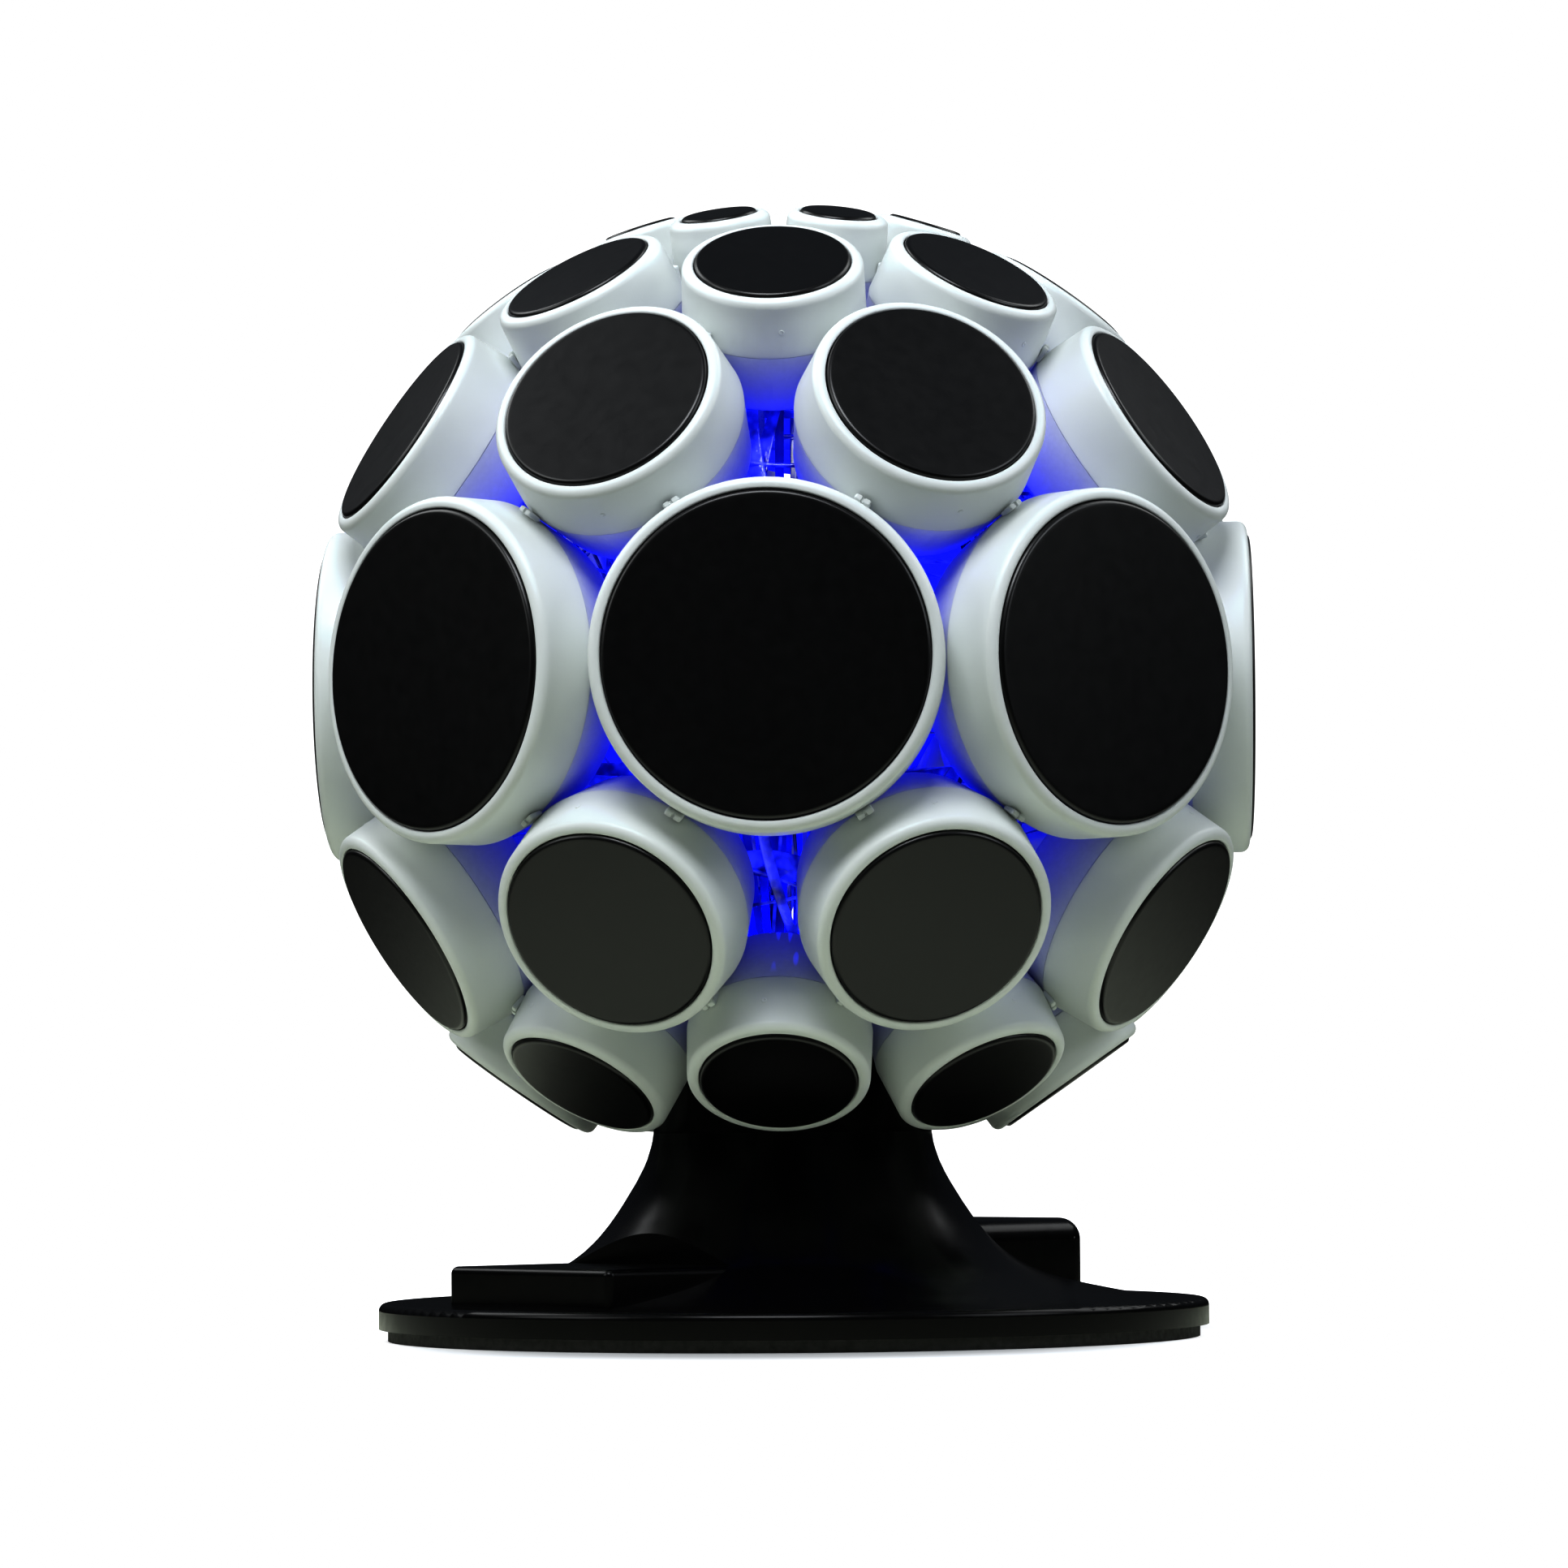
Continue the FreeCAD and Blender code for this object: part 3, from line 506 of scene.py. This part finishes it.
def make_clips():
    """A lug in each groove between rows, a little below the lips, in place of the plain CAD ones."""
    shape = rounded_bar(CLIP_LENGTH, CLIP_WIDTH, -CLIP_SINK, -CLIP_SINK - CLIP_DEPTH, CLIP_SLIT)
    shape.materials.append(BEZEL)
    count = 0
    for row_a, row_b in PAIRS:
        pads_a = sorted(n for n in AXES if row_of(n) == row_a)
        pads_b = sorted(n for n in AXES if row_of(n) == row_b)
        for a in pads_a:
            near = sorted(pads_b, key=lambda n: -AXES[n].dot(AXES[a]))[:2]
            for b in near:
                along = AXES[a].cross(AXES[b]).normalized()
                # the direction of the nearest point of this ring's hem
                half = math.atan(ROWS[row_a][3] / (ROWS[row_a][0] - SKIRT_HEIGHT))
                out = AXES[a] * math.cos(half) + along.cross(AXES[a]) * math.sin(half)
                out.normalize()
                reach = math.hypot(ROWS[row_a][0] - SKIRT_HEIGHT, ROWS[row_a][3]) + CLIP_LIFT
                side = out.cross(along)
                turn = Matrix((along, side, out)).transposed().to_4x4()
                count += 1
                clip = bpy.data.objects.new("clip_%02d" % count, shape)
                scene.collection.objects.link(clip)
                clip.matrix_world = Matrix.Translation(CENTRE + out * reach * MM) @ turn
                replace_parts(clip, "cup_clips")
                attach(clip, "root")


# ---------------------------------------------------------------- leads and films inside the globe
# row: outside of the cups' floors from the globe's centre, and where their leads land on the board (mm)
FLOORS = {"crown": 99.50, "upper": 98.01, "upper_mid": 96.38, "equator": 92.25, "lower_mid": 96.38,
          "lower": 98.01}
LANDINGS = {"crown": 10.0, "upper": 10.0, "upper_mid": 14.0, "equator": 14.0, "lower_mid": 18.0,
            "lower": 20.0}
LEAD_WIDTH, LEAD_THICKNESS, RISER_WIDTH, RISER_THICKNESS = 2.4, 0.4, 12.0, 0.6
FILM_SHARE, FILM_THICKNESS, WIRE_WIDTH = 0.55, 0.22, 0.9     # the rest of the bridges are wires
LAMP_COUNT, LAMP_RING, LAMP_TOP, LENS_RADIUS = 8, 5.5, 1.6, 1.5
BOARD_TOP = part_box("junction_board")[1].z - LAMP_TOP * MM


def floor_radius(row):
    """Radius of a cup's floor, in mm."""
    lip_plane, _, _, hem = ROWS[row]
    return hem * FLOORS[row] / (lip_plane - SKIRT_HEIGHT) - 0.15


def bezier(points, count):
    """count + 1 points of the cubic curve with these four control points."""
    a, b, c, d = points
    made = []
    for i in range(count + 1):
        t = i / count
        made.append(a * (1 - t) ** 3 + b * 3 * t * (1 - t) ** 2 + c * 3 * t * t * (1 - t) + d * t ** 3)
    return made


def sweep(verts, faces, path, wide, width, thickness, turn=0.0, taper=0.0):
    """Adds a closed strip with rounded edges along path. Its width points to wide at the start, and turns
    by turn radians; taper is how much narrower the ends are."""
    corners = [(-0.5, -0.25), (-0.4, -0.5), (0.4, -0.5), (0.5, -0.25), (0.5, 0.25), (0.4, 0.5), (-0.4, 0.5),
               (-0.5, 0.25)]
    last, loops = wide, []
    for i, point in enumerate(path):
        ahead = (path[min(i + 1, len(path) - 1)] - path[max(i - 1, 0)]).normalized()
        side = (last - ahead * last.dot(ahead)).normalized()
        last = side
        share = i / (len(path) - 1)
        side = Matrix.Rotation(turn * share, 3, ahead) @ side
        up = ahead.cross(side)
        size = 1 - taper * abs(2 * share - 1)
        loops.append(len(verts))
        verts.extend(point + (side * u * width * size + up * v * thickness) * MM for u, v in corners)
    n = len(corners)
    for a, b in zip(loops, loops[1:]):
        faces += [(a + i, b + i, b + (i + 1) % n, a + (i + 1) % n) for i in range(n)]
    faces += [tuple(range(loops[0], loops[0] + n)), tuple(reversed(range(loops[-1], loops[-1] + n)))]


def mesh_piece(name, verts, faces, material):
    mesh = bpy.data.meshes.new(name)
    mesh.from_pydata([tuple(v) for v in verts], [], faces)
    mesh.validate()
    mesh.polygons.foreach_set("use_smooth", [True] * len(mesh.polygons))
    mesh.materials.append(material)
    piece = bpy.data.objects.new(name, mesh)
    scene.collection.objects.link(piece)
    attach(piece, "root")
    return piece


def make_leads():
    """One flat lead from each cup's floor, in a curve, down to its place on the junction board."""
    rng = random.Random(11)
    verts, faces = [], []
    for pad_node, axis in sorted(AXES.items()):
        row = row_of(pad_node)
        flat = Vector((axis.x, axis.y, 0)).normalized()
        north = (Vector((0, 0, 1)) - axis * axis.z).normalized()
        end = CENTRE + (axis * (FLOORS[row] + 1.0) + north * floor_radius(row) * 0.55) * MM
        start = Vector((0, 0, BOARD_TOP - 0.3 * MM)) + flat * LANDINGS[row] * MM
        rise, reach, sway = rng.uniform(16, 34), rng.uniform(20, 34), rng.uniform(-7, 7)
        across = Vector((0, 0, 1)).cross(flat)
        leaves = start + (Vector((0, 0, rise)) + across * sway) * MM
        path = bezier((start, leaves, end - axis * reach * MM, end), 22)
        sweep(verts, faces, path, across, LEAD_WIDTH, LEAD_THICKNESS)
    # the flat riser through the neck, from the main board up to the junction board
    low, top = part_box("flex_leads")[0].z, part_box("junction_board")[0].z
    riser = [Vector((0, 0, low + (top - low) * k / 6)) for k in range(7)]
    sweep(verts, faces, riser, Vector((1, 0, 0)), RISER_WIDTH, RISER_THICKNESS)
    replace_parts(mesh_piece("leads", verts, faces, LEAD), "flex_leads")


def make_films():
    """Clear films and fine wires that bridge neighbouring cups behind the openings between the rings."""
    rng = random.Random(4)
    verts, faces, wires, wire_faces = [], [], [], []
    bridges = []
    names = sorted(AXES)
    for i, a in enumerate(names):
        for b in names[i + 1:]:
            rows = {row_of(a), row_of(b)}
            apart = math.degrees(AXES[a].angle(AXES[b]))
            if rows == {"equator", "upper"} or rows == {"equator", "lower"}:
                bridges += [(a, b)] * 4 if apart < 60 else []
            elif len(rows) == 1 and apart < 50 and rows != {"crown"}:
                bridges += [(a, b)] * (5 if "equator" in a else 4)
            elif rows in ({"upper", "crown"}, {"upper_mid", "upper"}, {"lower_mid", "lower"}):
                bridges += [(a, b)] if apart < 32 else []
    for number, (a, b) in enumerate(bridges, 1):
        ends = []
        for one, other in ((a, b), (b, a)):
            axis, row = AXES[one], row_of(one)
            toward = (AXES[other] - axis * AXES[other].dot(axis)).normalized()
            side = axis.cross(toward)
            r = floor_radius(row)
            aside = rng.uniform(-0.38, 0.38)
            if "equator" in a and "equator" in b:
                # above and below the line between the two pads by turns
                aside = math.copysign(rng.uniform(0.45, 0.8), side.z * (1 if number % 2 else -1))
            spot = axis * (FLOORS[row] + 0.8) + toward * r * rng.uniform(0.5, 0.85) * math.sqrt(1 - aside ** 2)
            spot += side * r * aside
            ends.append((CENTRE + spot * MM, axis))
        (p, n), (q, m) = ends
        dip = rng.uniform(5, 16)
        bend = (n + m).cross(q - p).normalized() * rng.uniform(-9, 9)
        path = bezier((p, p + (bend - n * dip) * MM, q + (bend * 0.6 - m * dip) * MM, q), 18)
        wide = n.cross(q - p).normalized()
        if rng.random() < FILM_SHARE:
            sweep(verts, faces, path, wide, rng.uniform(1.8, 5.5), FILM_THICKNESS, rng.uniform(-2.6, 2.6), 0.25)
        else:
            sweep(wires, wire_faces, path, wide, WIRE_WIDTH, WIRE_WIDTH)
    mesh_piece("inner_films", verts, faces, FILM)
    mesh_piece("inner_wires", wires, wire_faces, FILM)


def make_lamps():
    """Domed lenses over the board's lamps."""
    top = LAMP_TOP + LENS_RADIUS
    dome = [(0, top)] + arc(0, LAMP_TOP, LENS_RADIUS, 75, 0, 5)
    lens = turned("lamp_lens", dome + [(LENS_RADIUS, 0.3), (0, 0.3)], 24)
    lens.materials.append(LAMP)
    for k in range(LAMP_COUNT):
        a = 2 * math.pi * k / LAMP_COUNT
        piece = bpy.data.objects.new("lamp_lens_%d" % (k + 1), lens)
        scene.collection.objects.link(piece)
        piece.location = (math.sin(a) * LAMP_RING * MM, -math.cos(a) * LAMP_RING * MM, BOARD_TOP)
        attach(piece, "root")


make_bezels()
make_pads()
make_clips()
make_leads()
make_films()
make_lamps()


# ---------------------------------------------------------------- studio
# the floor: half its side, how far the painted contact shadow's centres stand from the middle, the distances
# from them between which it fades and the floor's own white comes in, and the painted pool of light's colour
# and reach (m)
FLOOR_HALF, SHADOW_SHIFT = 30.0, 0.06
SHADOW_DARK, SHADOW_GONE, WHITE_STARTS, WHITE_FULL = 0.040, 0.155, 0.075, 0.160
POOL_COLOUR, POOL_FULL, POOL_GONE = (0.90, 0.95, 0.76, 1), 0.14, 0.45
# azimuth, elevation (degrees) and distance (m) from the globe, width, height (m), power (W), colour
SOFTBOXES = {
    "top_softbox": (-8, 52, 1.6, 0.8, 0.6, 17.5, (0.97, 1.0, 1.04)),
    "left_softbox": (-66, 28, 1.7, 0.8, 0.8, 7.2, (0.97, 1.0, 1.0)),
    "right_softbox": (68, 26, 1.7, 0.8, 0.8, 6.5, (0.95, 1.0, 1.05)),
    "back_left_softbox": (-114, 42, 1.8, 0.9, 0.9, 9, (0.98, 1.0, 1.0)),
    "back_right_softbox": (116, 42, 1.8, 0.9, 0.9, 8, (0.98, 1.0, 1.0)),
}
GLOW_LIFT, GLOW_SIZE, GLOW_POWER = 8 * MM, 0.02, 0.09     # the blue lamps' own light, above the board


def area(name, place, target, width, height, power, colour):
    light = bpy.data.lights.new(name, "AREA")
    light.shape = "RECTANGLE"
    light.size, light.size_y = width, height
    light.energy, light.color = power, colour
    made = bpy.data.objects.new(name, light)
    made.location = place
    made.rotation_euler = (Vector(target) - Vector(place)).to_track_quat("-Z", "Y").to_euler()
    scene.collection.objects.link(made)


def around(azimuth, elevation, distance):
    """A place about the globe, in degrees and metres; azimuth 0 is in front."""
    a, e = math.radians(azimuth), math.radians(elevation)
    return CENTRE + Vector((math.sin(a) * math.cos(e), -math.cos(a) * math.cos(e), math.sin(e))) * distance


def make_floor():
    """White floor with a painted contact shadow. A camera ray sees it white to the horizon; other rays see a
    painted pool of light round the foot.
    """
    mesh = bpy.data.meshes.new("studio_floor")
    half = FLOOR_HALF
    corners = [(-half, -half, 0), (half, -half, 0), (half, half, 0), (-half, half, 0)]
    mesh.from_pydata(corners, [], [(0, 1, 2, 3)])
    floor = bpy.data.objects.new("studio_floor", mesh)
    scene.collection.objects.link(floor)
    s = Shader("studio_floor_white")
    away = s.distance_from((0, 0, 0))
    speckle = s.span(s.noise(400, 2), 0.3, 0.7, 0.99, 1.01)
    # the foot's painted contact shadow, longer at the front and back than at the sides, as under a wide light:
    # a darker base colour and less of the floor's own white near the foot
    along = s.math("MINIMUM", s.distance_from((0, -SHADOW_SHIFT, 0)), s.distance_from((0, SHADOW_SHIFT, 0)))
    lit = s.math("MULTIPLY", s.span(along, SHADOW_DARK, SHADOW_GONE), speckle)
    s.wire(Base_Color=s.ramp(lit, [(0.0, grey(0.30)), (1.0, grey(0.82))]),
           Emission_Strength=s.span(along, WHITE_STARTS, WHITE_FULL))
    s.set(Roughness=1.0, Specular_IOR_Level=0.0, Emission_Color=(1, 1, 1, 1))
    # painted pool of light round the foot, seen by every ray but the camera's
    pool_colour = s.ramp(s.span(away, POOL_FULL, POOL_GONE), [(0.0, POOL_COLOUR), (1.0, grey(0.03))])
    pool = s.node("BsdfDiffuse", {"Color": pool_colour})
    seen = s.node("LightPath").outputs["Is Camera Ray"]
    both = s.node("MixShader", {0: seen, 1: pool.outputs[0], 2: s.body.outputs[0]})
    s.link(both.outputs[0], s.out.inputs["Surface"])
    mesh.materials.append(s.material)


def make_world():
    """White behind the object; what lights it is a dim room with a brighter ceiling."""
    world = bpy.data.worlds.new("studio")
    scene.world = world
    world.use_nodes = True
    tree = world.node_tree
    tree.nodes.clear()
    out = tree.nodes.new("ShaderNodeOutputWorld")
    seen, room, mix = (tree.nodes.new("ShaderNodeBackground"), tree.nodes.new("ShaderNodeBackground"),
                       tree.nodes.new("ShaderNodeMixShader"))
    path = tree.nodes.new("ShaderNodeLightPath")
    coords, split = tree.nodes.new("ShaderNodeTexCoord"), tree.nodes.new("ShaderNodeSeparateXYZ")
    ramp = tree.nodes.new("ShaderNodeValToRGB")
    tree.links.new(coords.outputs["Generated"], split.inputs[0])
    tree.links.new(split.outputs["Z"], ramp.inputs["Fac"])
    ramp.color_ramp.elements[0].color = (0.004, 0.004, 0.004, 1)
    ramp.color_ramp.elements[1].color = (0.10, 0.115, 0.14, 1)
    tree.links.new(ramp.outputs["Color"], room.inputs["Color"])
    seen.inputs["Color"].default_value = (1, 1, 1, 1)
    seen.inputs["Strength"].default_value = 1.02
    tree.links.new(path.outputs["Is Camera Ray"], mix.inputs[0])
    tree.links.new(room.outputs[0], mix.inputs[1])
    tree.links.new(seen.outputs[0], mix.inputs[2])
    tree.links.new(mix.outputs[0], out.inputs["Surface"])


make_floor()
make_world()
for name, (azimuth, elevation, distance, width, height, power, colour) in SOFTBOXES.items():
    area(name, around(azimuth, elevation, distance), CENTRE, width, height, power, colour)
# the lamps' light looks up, a hair off the vertical so that its turn is defined
glow_at = Vector((0, 0, BOARD_TOP + GLOW_LIFT))
glow_to = glow_at + Vector((0, 0.00001, 1))
area("board_lamps", glow_at, glow_to, GLOW_SIZE, GLOW_SIZE, GLOW_POWER, (0.01, 0.02, 1))

# ---------------------------------------------------------------- camera
# fitted to the picture: radians about the globe's centre, metres, and millimetres of lens and sensor
CAMERA_AZIMUTH, CAMERA_PITCH, CAMERA_DISTANCE = math.radians(2.68), -0.0774466, 1.551914
CAMERA_LENS, CAMERA_SENSOR = 128.92, 36
camera_data = bpy.data.cameras.new("camera")
camera_data.lens, camera_data.sensor_width = CAMERA_LENS, CAMERA_SENSOR
camera_data.clip_start, camera_data.clip_end = 0.05, 100
camera = bpy.data.objects.new("camera", camera_data)
scene.collection.objects.link(camera)
back = Vector((math.sin(CAMERA_AZIMUTH) * math.cos(CAMERA_PITCH),
               -math.cos(CAMERA_AZIMUTH) * math.cos(CAMERA_PITCH), math.sin(CAMERA_PITCH)))
camera.location = CENTRE + back * CAMERA_DISTANCE
facing = (-back).to_track_quat("-Z", "Y").to_matrix()
# pan and tilt put the globe's centre where the picture has it; roll levels the foot
PAN, TILT, ROLL = 0.00104, -0.01637, -0.0079
turn = Matrix.Rotation(TILT, 3, "X") @ Matrix.Rotation(PAN, 3, "Y") @ Matrix.Rotation(ROLL, 3, "Z")
camera.rotation_euler = (facing @ turn).to_euler()
scene.camera = camera

scene.view_settings.view_transform = "Standard"
scene.view_settings.look = "None"
scene.view_settings.exposure = 0.0
scene.view_settings.gamma = 1.0
# the picture's deep blacks and burnt-out white: a contrast curve, up to where it turns white
TONE_GAIN, TONE_POWER, TONE_WHITE = 1.35, 1.3, 0.78
scene.view_settings.use_curve_mapping = True
tone = scene.view_settings.curve_mapping
for spot in (0.05, 0.1, 0.2, 0.33, 0.5, 0.65):
    tone.curves[3].points.new(spot, TONE_GAIN * spot ** TONE_POWER)
for spot in (TONE_WHITE, 0.9):
    tone.curves[3].points.new(spot, 1.0)
tone.update()
